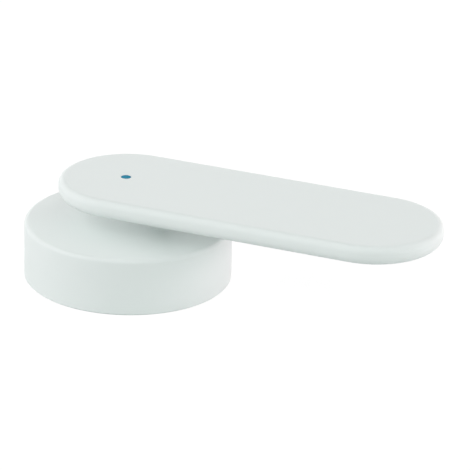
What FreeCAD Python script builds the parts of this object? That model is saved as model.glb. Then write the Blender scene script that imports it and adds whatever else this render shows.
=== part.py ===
# Tap handle: a cast hub with a flat, round-ended lever floating above it on a slim neck,
# an index dot pressed into the lever and a grub screw that clamps the tap's spindle.
# Frame: origin on the hub axis in the plane of the rim, +Z up, lever along +X.
import FreeCAD, Part
import os
import math
import Sketcher
from FreeCAD import Vector

# Driving dimensions in millimetres
DIMENSIONS = {
    "hub_diameter": 48.0,
    "hub_height": 13.5,
    "hub_edge_radius": 1.0,
    "hub_wall": 2.5,
    "hub_roof": 3.0,
    "rim_chamfer": 0.3,
    "core_bevel": 1.0,
    "lever_reach": 75.5,
    "lever_width": 32.5,
    "lever_thickness": 4.6,
    "lever_gap": 5.9,
    "lever_top_radius": 1.6,
    "lever_under_radius": 2.4,
    "neck_diameter": 5.5,
    "neck_offset": 8.5,
    "neck_root_radius": 0.5,
    "boss_diameter": 16.0,
    "boss_recess": 1.5,
    "socket_side": 8.1,
    "socket_depth": 8.5,
    "socket_lead_in": 0.5,
    "rib_thickness": 2.0,
    "rib_depth": 4.0,
    "grub_diameter": 5.0,
    "grub_length": 8.0,
    "grub_clearance": 0.05,
    "grub_setback": 0.3,
    "grub_axis_height": 6.5,
    "grub_wall": 2.0,
    "grub_point_diameter": 3.0,
    "grub_point_length": 0.9,
    "key_size": 2.5,
    "key_depth": 3.0,
    "dot_diameter": 2.4,
    "dot_depth": 3.0,
    "dot_edge_radius": 0.2,
    "dot_setback": 0.8,
}

doc = FreeCAD.newDocument("TapHandle")
sheet = doc.addObject("Spreadsheet::Sheet", "Dims")
for row, (alias, value) in enumerate(DIMENSIONS.items(), 1):
    sheet.set(f"A{row}", alias)
    sheet.set(f"B{row}", str(value))
    sheet.setAlias(f"B{row}", alias)
doc.recompute()


class Size:
    # A length that carries both its number and the sheet expression it comes from
    def __init__(self, value, text):
        self.value = value
        self.text = text

    def _join(self, sign, other, value):
        text = other.text if isinstance(other, Size) else str(other)
        return Size(value, f"({self.text} {sign} {text})")

    def __add__(self, other):
        return self._join("+", other, self.value + number(other))

    def __sub__(self, other):
        return self._join("-", other, self.value - number(other))

    def __truediv__(self, other):
        return self._join("/", other, self.value / number(other))

    def __mul__(self, other):
        return self._join("*", other, self.value * number(other))

    def __neg__(self):
        return Size(-self.value, f"(-{self.text})")


def number(size):
    return size.value if isinstance(size, Size) else size


def dim(alias):
    return Size(float(sheet.get(alias)), f"Dims.{alias}")


def bind(thing, prop, size):
    thing.setExpression(prop, size.text)


def new_sketch(body, name, role, offset=None):
    # A sketch on one of the body's own origin planes, moved along the plane's normal by the offset
    plane = next(item for item in body.Origin.OriginFeatures if item.Role == role)
    sketch = body.newObject("Sketcher::SketchObject", name)
    sketch.AttachmentSupport = [(plane, "")]
    sketch.MapMode = "FlatFace"
    if offset is not None:
        bind(sketch, "AttachmentOffset.Base.z", offset)
    return sketch


def pin_point(sketch, geometry, point, x, y):
    # Ties a point of the sketch to its place; a plain 0 puts it on the sketch's axis
    if number(x) == 0:
        sketch.addConstraint(Sketcher.Constraint("PointOnObject", geometry, point, -2))
    else:
        index = sketch.addConstraint(Sketcher.Constraint("DistanceX", -1, 1, geometry, point, x.value))
        bind(sketch, f"Constraints[{index}]", x)
    if number(y) == 0:
        sketch.addConstraint(Sketcher.Constraint("PointOnObject", geometry, point, -1))
    else:
        index = sketch.addConstraint(Sketcher.Constraint("DistanceY", -1, 1, geometry, point, y.value))
        bind(sketch, f"Constraints[{index}]", y)


def draw_outline(sketch, corners):
    # A closed straight-sided outline with every corner tied to its place
    points = [Vector(number(x), number(y), 0) for x, y in corners]
    count = len(points)
    lines = []
    for i in range(count):
        lines.append(sketch.addGeometry(Part.LineSegment(points[i], points[(i + 1) % count]), False))
    for i in range(count):
        following = lines[(i + 1) % count]
        sketch.addConstraint(Sketcher.Constraint("Coincident", lines[i], 2, following, 1))
    for line, (x, y) in zip(lines, corners):
        pin_point(sketch, line, 1, x, y)


def draw_circle(sketch, x, y, radius):
    centre = Vector(number(x), number(y), 0)
    circle = sketch.addGeometry(Part.Circle(centre, Vector(0, 0, 1), radius.value), False)
    pin_point(sketch, circle, 3, x, y)
    index = sketch.addConstraint(Sketcher.Constraint("Radius", circle, radius.value))
    bind(sketch, f"Constraints[{index}]", radius)


def draw_slot(sketch, start, end, radius):
    # A round-ended outline along the sketch's X axis; start and end are the centres of its round ends
    left = Vector(number(start), 0, 0)
    right = Vector(number(end), 0, 0)
    side = Vector(0, radius.value, 0)
    up = Vector(0, 0, 1)
    quarter = math.pi / 2
    back_arc = sketch.addGeometry(
        Part.ArcOfCircle(Part.Circle(left, up, radius.value), quarter, 3 * quarter), False)
    front_arc = sketch.addGeometry(
        Part.ArcOfCircle(Part.Circle(right, up, radius.value), -quarter, quarter), False)
    near_line = sketch.addGeometry(Part.LineSegment(left - side, right - side), False)
    far_line = sketch.addGeometry(Part.LineSegment(right + side, left + side), False)
    sketch.addConstraint(Sketcher.Constraint("Tangent", back_arc, 2, near_line, 1))
    sketch.addConstraint(Sketcher.Constraint("Tangent", near_line, 2, front_arc, 1))
    sketch.addConstraint(Sketcher.Constraint("Tangent", front_arc, 2, far_line, 1))
    sketch.addConstraint(Sketcher.Constraint("Tangent", far_line, 2, back_arc, 1))
    pin_point(sketch, back_arc, 3, start, 0)
    pin_point(sketch, front_arc, 3, end, 0)
    sketch.addConstraint(Sketcher.Constraint("Equal", back_arc, front_arc))
    index = sketch.addConstraint(Sketcher.Constraint("Radius", back_arc, radius.value))
    bind(sketch, f"Constraints[{index}]", radius)


def compute(feature):
    doc.recompute()
    if "Invalid" in feature.State or "Error" in feature.State or feature.Shape.isNull():
        raise RuntimeError(f"{feature.Label} did not build: {feature.State}")
    return feature


def revolve(body, name, sketch):
    feature = body.newObject("PartDesign::Revolution", name)
    feature.Profile = sketch
    feature.ReferenceAxis = (sketch, ["V_Axis"])
    feature.Angle = 360
    return compute(feature)


def pad(body, name, sketch, length, reverse=False):
    feature = body.newObject("PartDesign::Pad", name)
    feature.Profile = sketch
    feature.Reversed = reverse
    bind(feature, "Length", length)
    return compute(feature)


def pocket(body, name, sketch, length, reverse=False):
    # A cut has to take something away, so its volume is compared with what was there before
    before = body.Shape.Volume
    feature = body.newObject("PartDesign::Pocket", name)
    feature.Profile = sketch
    feature.Reversed = reverse
    bind(feature, "Length", length)
    compute(feature)
    if not body.Shape.Volume < before:
        raise RuntimeError(f"{name} cuts nothing")
    return feature


def dress(body, kind, name, size_property, size, chosen):
    # A fillet or chamfer on the edges of the body's present shape that pass the test
    base = body.Tip
    edges = [f"Edge{i}" for i, edge in enumerate(base.Shape.Edges, 1) if chosen(edge)]
    if not edges:
        raise RuntimeError(f"{name} finds no edge")
    feature = body.newObject(kind, name)
    feature.Base = (base, edges)
    bind(feature, size_property, size)
    return compute(feature)


def fillet(body, name, radius, chosen):
    return dress(body, "PartDesign::Fillet", name, "Radius", radius, chosen)


def chamfer(body, name, size, chosen):
    return dress(body, "PartDesign::Chamfer", name, "Size", size, chosen)


def lies_at(edge, z):
    # True for an edge that lies flat at the height z
    box = edge.BoundBox
    return abs(box.ZMin - z.value) < 1e-4 and abs(box.ZMax - z.value) < 1e-4


def reach_of(edge):
    # How far the edge gets from the hub axis
    return max(math.hypot(point.x, point.y) for point in edge.discretize(13))


# Places that several pieces share
hub_radius = dim("hub_diameter") / 2
hub_top = dim("hub_height")
cavity_radius = hub_radius - dim("hub_wall")
cavity_top = hub_top - dim("hub_roof")
boss_radius = dim("boss_diameter") / 2
socket_half = dim("socket_side") / 2
socket_top = dim("boss_recess") + dim("socket_depth")
lever_half = dim("lever_width") / 2
lever_under = hub_top + dim("lever_gap")
lever_top = lever_under + dim("lever_thickness")
neck_radius = dim("neck_diameter") / 2
neck_reach = dim("neck_offset") + neck_radius
dot_radius = dim("dot_diameter") / 2
grub_radius = dim("grub_diameter") / 2
grub_bore_radius = grub_radius + dim("grub_clearance")
grub_tip = socket_half + dim("grub_setback")


def make_handle_body():
    body = doc.addObject("PartDesign::Body", "handle_body")

    # Hub: a shallow cup with the spindle boss hanging from its roof, turned about the hub axis;
    # the cast corners under the roof are bevelled
    section = new_sketch(body, "HubSection", "XZ_Plane")
    draw_outline(section, [
        (0, dim("boss_recess")),
        (boss_radius, dim("boss_recess")),
        (boss_radius, cavity_top - dim("core_bevel")),
        (boss_radius + dim("core_bevel"), cavity_top),
        (cavity_radius - dim("core_bevel"), cavity_top),
        (cavity_radius, cavity_top - dim("core_bevel")),
        (cavity_radius, 0),
        (hub_radius, 0),
        (hub_radius, hub_top),
        (0, hub_top),
    ])
    revolve(body, "Hub", section)
    fillet(body, "HubEdge", dim("hub_edge_radius"),
           lambda edge: lies_at(edge, hub_top) and reach_of(edge) > boss_radius.value)

    # Neck: the round post that carries the lever; it stands on the lever's centre line, ahead of the hub axis
    foot = new_sketch(body, "NeckOutline", "XY_Plane", hub_top)
    draw_circle(foot, dim("neck_offset"), 0, neck_radius)
    pad(body, "Neck", foot, dim("lever_gap"))

    # Lever: its rear round end is concentric with the hub
    plan = new_sketch(body, "LeverOutline", "XY_Plane", lever_under)
    draw_slot(plan, 0, dim("lever_reach") - lever_half, lever_half)
    pad(body, "Lever", plan, dim("lever_thickness"))
    fillet(body, "LeverTopEdge", dim("lever_top_radius"), lambda edge: lies_at(edge, lever_top))
    fillet(body, "LeverUnderEdge", dim("lever_under_radius"),
           lambda edge: lies_at(edge, lever_under) and reach_of(edge) > neck_reach.value + 0.1)
    fillet(body, "NeckRoots", dim("neck_root_radius"),
           lambda edge: (lies_at(edge, hub_top) or lies_at(edge, lever_under))
           and reach_of(edge) < neck_reach.value + 0.1)

    # Ribs between boss and wall, close under the roof: one ahead and one to each side
    rib_half = dim("rib_thickness") / 2
    ahead = new_sketch(body, "FrontRibOutline", "XY_Plane", cavity_top)
    draw_outline(ahead, [
        (socket_half, -rib_half),
        (cavity_radius + dim("hub_wall") / 2, -rib_half),
        (cavity_radius + dim("hub_wall") / 2, rib_half),
        (socket_half, rib_half),
    ])
    pad(body, "FrontRib", ahead, dim("rib_depth"), reverse=True)
    across = new_sketch(body, "SideRibOutline", "XY_Plane", cavity_top)
    draw_outline(across, [
        (-rib_half, -cavity_radius - dim("hub_wall") / 2),
        (rib_half, -cavity_radius - dim("hub_wall") / 2),
        (rib_half, cavity_radius + dim("hub_wall") / 2),
        (-rib_half, cavity_radius + dim("hub_wall") / 2),
    ])
    pad(body, "SideRibs", across, dim("rib_depth"), reverse=True)

    # Bridge from the boss to the rear wall; it carries the clamping thread
    bridge_half = grub_bore_radius + dim("grub_wall")
    bridge_foot = dim("grub_axis_height") - bridge_half
    bridge = new_sketch(body, "BridgeOutline", "XY_Plane", bridge_foot)
    draw_outline(bridge, [
        (-cavity_radius - dim("hub_wall") / 2, -bridge_half),
        (-socket_half, -bridge_half),
        (-socket_half, bridge_half),
        (-cavity_radius - dim("hub_wall") / 2, bridge_half),
    ])
    pad(body, "Bridge", bridge, cavity_top - bridge_foot + dim("hub_roof") / 2)

    # Square socket for the spindle, with a lead-in at its mouth
    square = new_sketch(body, "SocketOutline", "XY_Plane", dim("boss_recess"))
    draw_outline(square, [
        (-socket_half, -socket_half),
        (socket_half, -socket_half),
        (socket_half, socket_half),
        (-socket_half, socket_half),
    ])
    pocket(body, "Socket", square, dim("socket_depth"), reverse=True)
    chamfer(body, "SocketLeadIn", dim("socket_lead_in"),
            lambda edge: lies_at(edge, dim("boss_recess")) and reach_of(edge) < boss_radius.value - 0.1)

    # Threaded hole from the rear of the hub into the socket
    hole = new_sketch(body, "GrubHoleOutline", "YZ_Plane", -hub_radius)
    draw_circle(hole, 0, dim("grub_axis_height"), grub_bore_radius)
    pocket(body, "GrubHole", hole, hub_radius - socket_half / 2, reverse=True)

    # Blind bore for the index dot, just behind the hub axis
    bore = new_sketch(body, "DotBoreOutline", "XY_Plane", lever_top)
    draw_circle(bore, -dim("dot_setback"), 0, dot_radius)
    pocket(body, "DotBore", bore, dim("dot_depth"))

    # The rim is broken inside and out
    chamfer(body, "RimBreak", dim("rim_chamfer"),
            lambda edge: edge.BoundBox.ZMax < 1e-4 and reach_of(edge) > cavity_radius.value - 0.1)
    return body


def make_index_dot():
    # A round pin with a softened top edge, flush with the lever; it is drawn about the Z axis
    body = doc.addObject("PartDesign::Body", "index_dot")
    section = new_sketch(body, "DotSection", "XZ_Plane")
    dot_foot = lever_top - dim("dot_depth")
    draw_outline(section, [
        (0, dot_foot),
        (dot_radius, dot_foot),
        (dot_radius, lever_top),
        (0, lever_top),
    ])
    revolve(body, "Dot", section)
    fillet(body, "DotEdge", dim("dot_edge_radius"), lambda edge: lies_at(edge, lever_top))
    # It goes to its bore
    body.Placement.Base = Vector(-dim("dot_setback").value, 0, 0)
    bind(body, "Placement.Base.x", -dim("dot_setback"))
    return body


def make_grub_screw():
    # A set screw with a flat point; it is drawn about the Z axis with its point at the origin
    body = doc.addObject("PartDesign::Body", "grub_screw")
    point_radius = dim("grub_point_diameter") / 2
    section = new_sketch(body, "GrubSection", "XZ_Plane")
    draw_outline(section, [
        (0, 0),
        (point_radius, 0),
        (grub_radius, dim("grub_point_length")),
        (grub_radius, dim("grub_length")),
        (0, dim("grub_length")),
    ])
    revolve(body, "Grub", section)
    flat = dim("key_size") / 2
    corner = dim("key_size") * (1 / math.sqrt(3))
    key = new_sketch(body, "KeyOutline", "XY_Plane", dim("grub_length"))
    draw_outline(key, [
        (corner, 0),
        (corner / 2, flat),
        (-corner / 2, flat),
        (-corner, 0),
        (-corner / 2, -flat),
        (corner / 2, -flat),
    ])
    pocket(body, "KeySocket", key, dim("key_depth"))
    # It lies along the hole with its point towards the socket
    body.Placement = FreeCAD.Placement(
        Vector(-grub_tip.value, 0, dim("grub_axis_height").value),
        FreeCAD.Rotation(Vector(0, 1, 0), -90))
    bind(body, "Placement.Base.x", -grub_tip)
    bind(body, "Placement.Base.z", dim("grub_axis_height"))
    return body


pieces = [make_handle_body(), make_index_dot(), make_grub_screw()]
doc.recompute()

for item in doc.Objects:
    if "Invalid" in item.State or "Error" in item.State:
        raise RuntimeError(f"{item.Label} did not build: {item.State}")

os.makedirs("parts", exist_ok=True)
for piece in pieces:
    shape = piece.Shape
    if shape.isNull() or not shape.isValid() or len(shape.Solids) != 1:
        raise RuntimeError(f"{piece.Label} is not one sound solid")
    shape.exportStep(f"parts/{piece.Label}.step")
    box = shape.BoundBox
    print(f"{piece.Label}: volume {shape.Volume:.1f}  x {box.XMin:.2f}..{box.XMax:.2f}  "
          f"y {box.YMin:.2f}..{box.YMax:.2f}  z {box.ZMin:.2f}..{box.ZMax:.2f}")
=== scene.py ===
import bpy
import bmesh
from math import cos, radians, sin, sqrt, tau
from mathutils import Matrix, Vector


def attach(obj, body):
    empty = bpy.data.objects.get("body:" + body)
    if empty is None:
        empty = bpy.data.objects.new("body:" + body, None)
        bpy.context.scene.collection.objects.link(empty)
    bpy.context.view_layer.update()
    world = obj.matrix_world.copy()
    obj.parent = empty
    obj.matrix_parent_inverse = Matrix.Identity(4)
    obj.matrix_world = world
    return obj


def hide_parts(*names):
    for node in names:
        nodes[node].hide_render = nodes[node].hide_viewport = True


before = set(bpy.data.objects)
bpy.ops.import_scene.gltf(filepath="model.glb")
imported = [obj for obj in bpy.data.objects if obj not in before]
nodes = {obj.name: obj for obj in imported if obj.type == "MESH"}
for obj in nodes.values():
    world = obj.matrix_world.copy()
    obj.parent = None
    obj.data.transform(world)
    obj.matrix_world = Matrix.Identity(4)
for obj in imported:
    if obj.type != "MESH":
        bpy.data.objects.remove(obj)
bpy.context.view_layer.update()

mm = 0.001
scene = bpy.context.scene
scene.view_settings.view_transform = "Standard"
print("frame:", ", ".join(sorted(nodes)))


# shader helpers

whole = (0.0, 1.0)
noiseBand = (0.3, 0.7)  # where nearly all of a noise lies
noiseCore = (0.35, 0.65)  # where most of it lies


def addNode(tree, kind, **settings):
    node = tree.nodes.new(kind)
    for name, value in settings.items():
        setattr(node, name, value)
    return node


def feed(tree, socket, value):  # a plain number or colour is set, anything else is linked
    if isinstance(value, bpy.types.NodeSocket):
        tree.links.new(value, socket)
    else:
        socket.default_value = value


def calc(tree, operation, *values, clamp=False):
    node = addNode(tree, "ShaderNodeMath", operation=operation, use_clamp=clamp)
    for socket, value in zip(node.inputs, values):
        feed(tree, socket, value)
    return node.outputs[0]


def splitPoint(tree, coords):
    node = addNode(tree, "ShaderNodeSeparateXYZ")
    feed(tree, node.inputs[0], coords)
    return node.outputs


def distance(tree, x, y):  # how far a flat point is from the middle
    squares = [calc(tree, "MULTIPLY", side, side) for side in (x, y)]
    return calc(tree, "SQRT", calc(tree, "ADD", *squares))


def blendColours(tree, factor, first, second):
    node = addNode(tree, "ShaderNodeMix", data_type="RGBA")
    for index, value in ((0, factor), (6, first), (7, second)):  # the colour sockets are 6 and 7
        feed(tree, node.inputs[index], value)
    return node.outputs[2]


def remap(tree, value, given, wanted, smooth=False):
    node = addNode(tree, "ShaderNodeMapRange", interpolation_type="SMOOTHSTEP" if smooth else "LINEAR")
    for socket, part in zip(node.inputs, (value, *given, *wanted)):
        feed(tree, socket, part)
    return node.outputs[0]


def noise(tree, coords, scale, detail):
    node = addNode(tree, "ShaderNodeTexNoise", noise_dimensions="3D")
    feed(tree, node.inputs["Vector"], coords)
    feed(tree, node.inputs["Scale"], scale)
    node.inputs["Detail"].default_value = detail
    return node.outputs["Fac"]


def startGroup(name, inputs, outputs):
    tree = bpy.data.node_groups.new(name, "ShaderNodeTree")
    for label, value in inputs.items():
        socket = tree.interface.new_socket(label, in_out="INPUT", socket_type="NodeSocketFloat")
        socket.default_value = value
    for label in outputs:
        tree.interface.new_socket(label, in_out="OUTPUT", socket_type="NodeSocketFloat")
    given = addNode(tree, "NodeGroupInput").outputs
    out = addNode(tree, "NodeGroupOutput").inputs
    return tree, given, out, addNode(tree, "ShaderNodeTexCoord").outputs["Object"]


def placeGroup(tree, group, values):
    node = addNode(tree, "ShaderNodeGroup", node_tree=group)
    for label, value in values.items():
        node.inputs[label].default_value = value
    return node.outputs


def startMaterial(name):
    material = bpy.data.materials.new(name)
    material.use_nodes = True
    return material, material.node_tree, material.node_tree.nodes["Principled BSDF"]


def bumpFrom(tree, height, finish):
    node = addNode(tree, "ShaderNodeBump")
    node.inputs["Strength"].default_value = finish["bump"]
    node.inputs["Distance"].default_value = finish["bumpDepth"]
    feed(tree, node.inputs["Height"], height)
    return node.outputs["Normal"]


# grain shared by lacquer, plastic and metal: slow clouds of tone and a fine skin

skinGrain = {"scales": {"Cloud Scale": 60.0, "Skin Scale": 900.0}, "cloudDetail": 3.0, "skinDetail": 2.0}


def makeSkinGroup(grain):
    tree, given, out, coords = startGroup("surfaceSkin", grain["scales"], ["Cloud", "Skin"])
    feed(tree, out["Cloud"], noise(tree, coords, given["Cloud Scale"], grain["cloudDetail"]))
    feed(tree, out["Skin"], noise(tree, coords, given["Skin Scale"], grain["skinDetail"]))
    return tree


# where the lacquer stops: inside the hub the casting is bare, with overspray near the rim

hollowFinish = {
    "radius": 21.6 * mm, "roof": 10.7 * mm,  # just outside the hollow's own wall and roof
    "overspray": 3.2 * mm, "edgeNoise": 240.0, "edgeDetail": 4.0,
    "ragged": (-0.5, 0.5), "clearing": (0.1, 1.2),  # in heights of the overspray
    "markPlace": 10.3 * mm, "markRadius": 2.3 * mm, "markFade": 1.12, "markDepth": 1.4, "markFrom": 0.95,
    "pitScale": 1500.0, "pitDetail": 4.0, "pitShare": 0.5, "swirlScale": 180.0, "swirlDetail": 3.0}


def makeHollowGroup(finish):
    tree, given, out, coords = startGroup("hubHollow", {"Edge Noise": finish["edgeNoise"]}, ["Bare", "Cast"])
    x, y, z = splitPoint(tree, coords)
    inside = calc(tree, "LESS_THAN", distance(tree, x, y), finish["radius"])
    below = calc(tree, "LESS_THAN", z, finish["roof"])
    edge = noise(tree, coords, given["Edge Noise"], finish["edgeDetail"])
    depth = calc(tree, "ADD", calc(tree, "DIVIDE", z, finish["overspray"]),
                 remap(tree, edge, noiseBand, finish["ragged"]))
    clear = remap(tree, depth, finish["clearing"], whole, smooth=True)
    feed(tree, out["Bare"], calc(tree, "MULTIPLY", calc(tree, "MULTIPLY", inside, below), clear))

    # round marks of the ejector pins on the roof, one in each quarter
    across = [calc(tree, "SUBTRACT", calc(tree, "ABSOLUTE", side), finish["markPlace"]) for side in (x, y)]
    markRim = (finish["markRadius"], finish["markRadius"] * finish["markFade"])
    mark = remap(tree, distance(tree, *across), markRim, (1.0, 0.0), smooth=True)
    onRoof = calc(tree, "GREATER_THAN", z, finish["roof"] * finish["markFrom"])
    mark = calc(tree, "MULTIPLY", mark, onRoof)

    # pits and swirls of the cast skin
    pits = noise(tree, coords, finish["pitScale"], finish["pitDetail"])
    swirl = noise(tree, coords, finish["swirlScale"], finish["swirlDetail"])
    skin = calc(tree, "ADD", calc(tree, "MULTIPLY", pits, finish["pitShare"]), swirl)
    feed(tree, out["Cast"], calc(tree, "SUBTRACT", skin, calc(tree, "MULTIPLY", mark, finish["markDepth"])))
    return tree


skinGroup = makeSkinGroup(skinGrain)
hollowGroup = makeHollowGroup(hollowFinish)
print("node groups:", skinGroup.name, hollowGroup.name)


# white lacquer over the zinc casting

lacquerFinish = {
    "light": (0.830, 0.885, 0.868, 1.0), "deep": (0.822, 0.879, 0.861, 1.0), "rough": (0.56, 0.62),
    "grain": {"Cloud Scale": 70.0, "Skin Scale": 1100.0}, "skinHeight": 0.035, "ior": 1.5, "specular": 0.12,
    "zinc": (0.50, 0.51, 0.52, 1.0), "zincDark": (0.36, 0.37, 0.38, 1.0), "zincRough": 0.48,
    "zincMetal": 0.85, "castBand": (0.5, 1.0), "bump": 0.6, "bumpDepth": 0.1 * mm}


def makeLacquer(finish):
    material, tree, shader = startMaterial("whiteLacquer")
    skin = placeGroup(tree, skinGroup, finish["grain"])
    hollow = placeGroup(tree, hollowGroup, {})
    bare = hollow["Bare"]
    paint = blendColours(tree, remap(tree, skin["Cloud"], noiseCore, whole), finish["deep"], finish["light"])
    metal = blendColours(tree, remap(tree, hollow["Cast"], finish["castBand"], whole),
                         finish["zincDark"], finish["zinc"])
    feed(tree, shader.inputs["Base Color"], blendColours(tree, bare, paint, metal))
    feed(tree, shader.inputs["Metallic"], calc(tree, "MULTIPLY", bare, finish["zincMetal"]))
    paintRough = remap(tree, skin["Cloud"], noiseBand, finish["rough"])
    painted = calc(tree, "SUBTRACT", 1.0, bare)
    feed(tree, shader.inputs["Roughness"],
         calc(tree, "ADD", calc(tree, "MULTIPLY", paintRough, painted),
              calc(tree, "MULTIPLY", bare, finish["zincRough"])))
    shader.inputs["IOR"].default_value = finish["ior"]
    shader.inputs["Specular IOR Level"].default_value = finish["specular"]
    height = calc(tree, "ADD", calc(tree, "MULTIPLY", skin["Skin"], finish["skinHeight"]),
                  calc(tree, "MULTIPLY", hollow["Cast"], bare))
    feed(tree, shader.inputs["Normal"], bumpFrom(tree, height, finish))
    return material


# blue plastic of the index dot, with painted shade: a deeper blue where its edge rounds over

dotFinish = {
    # edge is a painted shade colour: a darker blue standing in for the shade on the dot's rounded rim
    "blue": (0.001, 0.235, 0.370, 1.0), "edge": (0.001, 0.150, 0.255, 1.0), "rough": (0.38, 0.46),
    "flat": 0.95 * mm, "rim": 1.2 * mm, "setback": 0.8 * mm,  # the dot sits behind the hub axis
    "grain": {"Cloud Scale": 500.0, "Skin Scale": 4000.0}, "mottle": (-0.08, 0.08),
    "ior": 1.49, "specular": 0.02, "bump": 0.2, "bumpDepth": 0.01 * mm}


def makeIndexBlue(finish):
    material, tree, shader = startMaterial("indexBlue")
    skin = placeGroup(tree, skinGroup, finish["grain"])
    x, y = splitPoint(tree, addNode(tree, "ShaderNodeTexCoord").outputs["Object"])[:2]
    radius = distance(tree, calc(tree, "ADD", x, finish["setback"]), y)
    # painted shade: the colour darkens from the flat face out to the rounded rim
    paintedRimShade = remap(tree, radius, (finish["flat"], finish["rim"]), whole, smooth=True)
    tone = calc(tree, "ADD", paintedRimShade, remap(tree, skin["Cloud"], noiseBand, finish["mottle"]), clamp=True)
    feed(tree, shader.inputs["Base Color"], blendColours(tree, tone, finish["blue"], finish["edge"]))
    feed(tree, shader.inputs["Roughness"], remap(tree, skin["Cloud"], noiseBand, finish["rough"]))
    shader.inputs["IOR"].default_value = finish["ior"]
    shader.inputs["Specular IOR Level"].default_value = finish["specular"]
    feed(tree, shader.inputs["Normal"], bumpFrom(tree, skin["Skin"], finish))
    return material


# plain steel of the grub screw and the tapped zinc of its hole

metalGrain = {"grain": {"Cloud Scale": 900.0, "Skin Scale": 5200.0}, "bump": 0.3, "bumpDepth": 0.01 * mm}
steelFinish = {"bright": (0.56, 0.56, 0.57, 1.0), "dull": (0.40, 0.40, 0.42, 1.0), "rough": (0.29, 0.42)}
tappedFinish = {"bright": (0.60, 0.61, 0.62, 1.0), "dull": (0.46, 0.47, 0.48, 1.0), "rough": (0.30, 0.46)}


def makeMetal(name, finish):
    material, tree, shader = startMaterial(name)
    skin = placeGroup(tree, skinGroup, metalGrain["grain"])
    tone = remap(tree, skin["Cloud"], noiseCore, whole)
    feed(tree, shader.inputs["Base Color"], blendColours(tree, tone, finish["dull"], finish["bright"]))
    shader.inputs["Metallic"].default_value = 1.0
    feed(tree, shader.inputs["Roughness"], remap(tree, skin["Cloud"], noiseBand, finish["rough"]))
    feed(tree, shader.inputs["Normal"], bumpFrom(tree, skin["Skin"], metalGrain))
    return material


def dress(piece, material):
    piece.data.materials.clear()
    piece.data.materials.append(material)


lacquer = makeLacquer(lacquerFinish)
indexBlue = makeIndexBlue(dotFinish)
screwSteel = makeMetal("screwSteel", steelFinish)
tappedZinc = makeMetal("tappedZinc", tappedFinish)
dress(nodes["handle_body"], lacquer)
dress(nodes["index_dot"], indexBlue)
print("materials:", lacquer.name, indexBlue.name, screwSteel.name, tappedZinc.name)


# threads: one tooth is drawn in a half plane and spun up a helix about Z, then trimmed to length

alongHole = Matrix.Rotation(radians(-90), 4, "Y")  # Z becomes -X, out of the rear of the hub
weldShare = 0.004  # of the pitch: points nearer than this are one
sameSpot = 1e-7
sameLevel = 1e-6
sharpFrom = radians(35)


def spinThread(bm, tooth, size):
    pitch, steps, turns = size["pitch"], size["steps"], size["turns"]
    ring = [bm.verts.new((radius, 0.0, -back * pitch)) for radius, back in tooth]
    edges = [bm.edges.new(pair) for pair in zip(ring, ring[1:])]
    bmesh.ops.spin(bm, geom=ring + edges, cent=(0, 0, 0), axis=(0, 0, 1), dvec=(0, 0, pitch / steps),
                   angle=tau * turns, steps=steps * turns)
    bmesh.ops.remove_doubles(bm, verts=bm.verts[:], dist=pitch * weldShare)


def trimTo(bm, bottom, top):
    for height, side in ((bottom, -1), (top, 1)):
        bmesh.ops.bisect_plane(bm, geom=bm.verts[:] + bm.edges[:] + bm.faces[:], plane_co=(0, 0, height),
                               plane_no=(0, 0, side), clear_outer=True, dist=sameSpot)


def openRing(bm, height):  # border edges lying at a height
    return [edge for edge in bm.edges if edge.is_boundary
            and all(abs(vert.co.z - height) < sameLevel for vert in edge.verts)]


def pulledOut(bm, edges):  # extrudes edges and gives the new points
    made = bmesh.ops.extrude_edge_only(bm, edges=edges)["geom"]
    return [item for item in made if isinstance(item, bmesh.types.BMVert)]


def finishPiece(bm, name, place, material):
    bmesh.ops.recalc_face_normals(bm, faces=bm.faces[:])
    bmesh.ops.transform(bm, matrix=Matrix.Translation(place) @ alongHole, verts=bm.verts[:])
    mesh = bpy.data.meshes.new(name)
    bm.to_mesh(mesh)
    bm.free()
    mesh.shade_smooth()
    mesh.set_sharp_from_angle(angle=sharpFrom)
    mesh.materials.append(material)
    piece = bpy.data.objects.new(name, mesh)
    scene.collection.objects.link(piece)
    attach(piece, "root")
    return piece


# grub screw: M5 thread, cone end with a flat point, hex socket for the key

screwSizes = {"outer": 2.48 * mm, "core": 2.06 * mm, "pitch": 0.8 * mm, "length": 8.0 * mm,
              "crest": (0.62, 0.48), "flankEnd": 0.10,  # back along the tooth, in pitches
              "turns": 13, "steps": 40, "point": 1.5 * mm, "pointLength": 0.9 * mm,
              "keyAcross": 2.5 * mm, "keyDepth": 3.0 * mm, "tip": (-4.35 * mm, 0.0, 6.5 * mm)}


def makeGrubScrew(size):
    bm = bmesh.new()
    outer, core = size["outer"], size["core"]
    crestStart, crestEnd = size["crest"]
    tooth = [(core, 1.0), (outer, crestStart), (outer, crestEnd), (core, size["flankEnd"]), (core, 0.0)]
    spinThread(bm, tooth, size)
    trimTo(bm, size["pointLength"], size["length"])

    # cone and flat point
    for vert in pulledOut(bm, openRing(bm, size["pointLength"])):
        vert.co = vert.co.xy.normalized().to_3d() * size["point"]
    bmesh.ops.remove_doubles(bm, verts=bm.verts[:], dist=sameSpot)
    bmesh.ops.holes_fill(bm, edges=openRing(bm, 0.0), sides=0)

    # end face with the key socket sunk into it
    ring = openRing(bm, size["length"])
    hexVerts = bmesh.ops.create_circle(bm, segments=6, radius=size["keyAcross"] / sqrt(3), cap_ends=False,
                                       matrix=Matrix.Translation((0, 0, size["length"])))["verts"]
    hexRing = list(dict.fromkeys(edge for vert in hexVerts for edge in vert.link_edges))  # each edge once
    bmesh.ops.triangle_fill(bm, use_beauty=True, use_dissolve=False, edges=ring + hexRing)
    bmesh.ops.translate(bm, vec=(0, 0, -size["keyDepth"]), verts=pulledOut(bm, hexRing))
    bmesh.ops.holes_fill(bm, edges=openRing(bm, size["length"] - size["keyDepth"]), sides=0)
    screw = finishPiece(bm, "grubScrew", size["tip"], screwSteel)
    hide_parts("grub_screw")


# the tapped thread that shows in the free stretch of the hole behind the screw

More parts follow.
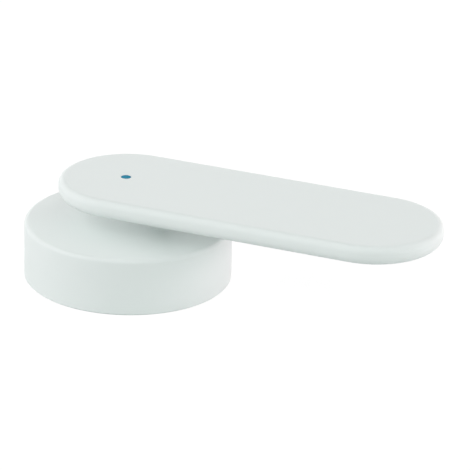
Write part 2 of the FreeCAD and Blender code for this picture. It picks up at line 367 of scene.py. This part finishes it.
boreSizes = {"root": 2.62 * mm, "crest": 2.14 * mm, "pitch": 0.8 * mm, "length": 10.9 * mm,
             "crestSpan": (0.60, 0.48), "flankEnd": 0.08, "backAt": 0.54,  # along the tooth, in pitches
             "backSwell": 1.03, "turns": 16, "steps": 40, "start": (-12.6 * mm, 0.0, 6.5 * mm)}


def makeBoreThread(size):
    bm = bmesh.new()
    root, crest = size["root"], size["crest"]
    crestStart, crestEnd = size["crestSpan"]
    tooth = [(root, 1.0), (crest, crestStart), (crest, crestEnd), (root, size["flankEnd"]),
             (root * size["backSwell"], size["backAt"]), (root, 1.0)]  # its back closes the tooth
    spinThread(bm, tooth, size)
    trimTo(bm, 0.0, size["length"])
    for height in (0.0, size["length"]):
        bmesh.ops.holes_fill(bm, edges=openRing(bm, height), sides=0)
    thread = finishPiece(bm, "boreThread", size["start"], tappedZinc)


makeGrubScrew(screwSizes)
makeBoreThread(boreSizes)
print("pieces: grubScrew, boreThread")


# floor and room look one way to the lens, mirrors and glass, and another to the light they bounce

def pickBySight(tree, usual, seen, output):
    path = addNode(tree, "ShaderNodeLightPath").outputs
    direct = calc(tree, "MAXIMUM", path["Is Camera Ray"], path["Is Glossy Ray"])
    direct = calc(tree, "MAXIMUM", direct, path["Is Transmission Ray"])
    pick = addNode(tree, "ShaderNodeMixShader")
    for socket, source in zip(pick.inputs, (direct, usual.outputs[0], seen.outputs[0])):
        tree.links.new(source, socket)
    tree.links.new(pick.outputs[0], addNode(tree, output).inputs["Surface"])


def plainShader(tree, kind, **values):
    node = addNode(tree, kind)
    for label, value in values.items():
        node.inputs[label].default_value = value
    return node


# the stage: a pale floor that shows white, and keeps a light contact shadow

floorFinish = {"half": 2.0, "colour": (0.72, 0.75, 0.74, 1.0), "seenColour": (0.16, 0.16, 0.16, 1.0),
               "glow": 0.90}


def makeFloor(finish):
    bm = bmesh.new()
    bmesh.ops.create_grid(bm, x_segments=1, y_segments=1, size=finish["half"])
    mesh = bpy.data.meshes.new("paleFloor")
    bm.to_mesh(mesh)
    bm.free()
    floor = bpy.data.objects.new("paleFloor", mesh)
    scene.collection.objects.link(floor)
    material = bpy.data.materials.new("paleFloor")
    material.use_nodes = True
    tree = material.node_tree
    tree.nodes.clear()
    bounce = plainShader(tree, "ShaderNodeBsdfDiffuse", Color=finish["colour"])
    shown = plainShader(tree, "ShaderNodeBsdfDiffuse", Color=finish["seenColour"])
    glow = plainShader(tree, "ShaderNodeEmission", Strength=finish["glow"])
    both = addNode(tree, "ShaderNodeAddShader")
    tree.links.new(shown.outputs[0], both.inputs[0])
    tree.links.new(glow.outputs[0], both.inputs[1])
    pickBySight(tree, bounce, both, "ShaderNodeOutputMaterial")
    mesh.materials.append(material)


makeFloor(floorFinish)


# room light: white where it is seen, a quiet fill everywhere else

roomLight = {"fill": (1.0, 1.0, 1.0, 1.0), "level": 0.276, "white": (1.0, 1.0, 1.0, 1.0), "whiteLevel": 1.0}


def makeRoom(light):
    world = bpy.data.worlds.new("studioRoom")
    world.use_nodes = True
    scene.world = world
    tree = world.node_tree
    tree.nodes.clear()
    fill = plainShader(tree, "ShaderNodeBackground", Color=light["fill"], Strength=light["level"])
    white = plainShader(tree, "ShaderNodeBackground", Color=light["white"], Strength=light["whiteLevel"])
    pickBySight(tree, fill, white, "ShaderNodeOutputWorld")


makeRoom(roomLight)


# camera, as the photograph was taken

viewFrom = {"aim": (21.54 * mm, 12.42 * mm, 8.90 * mm), "azimuth": 21.67, "elevation": 22.69, "roll": 1.56,
            "distance": 0.762, "lens": 251.5, "sensor": 36.0, "clipStart": 0.01}


def lookFrom(azimuth, elevation):  # unit vector towards a viewer, azimuth 0 standing at -Y
    a, e = radians(azimuth), radians(elevation)
    return Vector((sin(a) * cos(e), -cos(a) * cos(e), sin(e)))


def aimed(place, target, roll=0.0):
    turn = (place - target).to_track_quat("Z", "Y").to_matrix().to_4x4()
    return Matrix.Translation(place) @ turn @ Matrix.Rotation(radians(roll), 4, "Z")


def makeCamera(view):
    data = bpy.data.cameras.new("photoView")
    data.sensor_width = view["sensor"]
    data.lens = view["lens"]
    data.clip_start = view["clipStart"]
    camera = bpy.data.objects.new("photoView", data)
    scene.collection.objects.link(camera)
    aim = Vector(view["aim"])
    place = aim + lookFrom(view["azimuth"], view["elevation"]) * view["distance"]
    camera.matrix_world = aimed(place, aim, view["roll"])
    scene.camera = camera


makeCamera(viewFrom)


# soft boxes a metre from the hub; side is counted from the camera, + to the right in the picture

lampTarget = Vector((0.0, 0.0, 10 * mm))
softBoxes = {
    "keyLeft": {"side": -82, "height": 36, "size": (1.20, 0.70), "watts": 4.13, "tint": (1.0, 0.98, 0.99)},
    "leftMid": {"side": -80, "height": 18, "size": (0.80, 0.30), "watts": 2.06, "tint": (1.0, 0.92, 0.96)},
    "frontHigh": {"side": -10, "height": 34, "size": (0.70, 0.50), "watts": 1.40, "tint": (0.98, 1.0, 0.99)},
    "frontRight": {"side": 30, "height": 32, "size": (0.70, 0.50), "watts": 0.88, "tint": (0.94, 1.0, 0.98)},
    "rightFront": {"side": 58, "height": 8, "size": (0.50, 0.24), "watts": 0.82, "tint": (0.84, 1.0, 0.97)},
    "rightLow": {"side": 100, "height": 8, "size": (1.30, 0.24), "watts": 5.64, "tint": (1.0, 0.83, 0.88)},
    "rightSteep": {"side": 80, "height": 58, "size": (0.90, 0.50), "watts": 1.13, "tint": (0.94, 1.0, 0.97)},
    "backLow": {"side": 180, "height": 8, "size": (1.50, 0.24), "watts": 5.0, "tint": (1.0, 0.93, 0.96)},
    "overhead": {"side": 0, "height": 88, "size": (0.90, 0.90), "watts": 0.53, "tint": (0.93, 1.0, 0.96)},
}


def makeSoftBox(name, box):
    data = bpy.data.lights.new(name, "AREA")
    data.shape = "RECTANGLE"
    data.size, data.size_y = box["size"]
    data.energy = box["watts"]
    data.color = box["tint"]
    lamp = bpy.data.objects.new(name, data)
    scene.collection.objects.link(lamp)
    place = lampTarget + lookFrom(viewFrom["azimuth"] + box["side"], box["height"])
    lamp.matrix_world = aimed(place, lampTarget)
    lamp.visible_camera = False


for name, box in softBoxes.items():
    makeSoftBox(name, box)
print("stage: floor, room, camera and", len(softBoxes), "soft boxes")
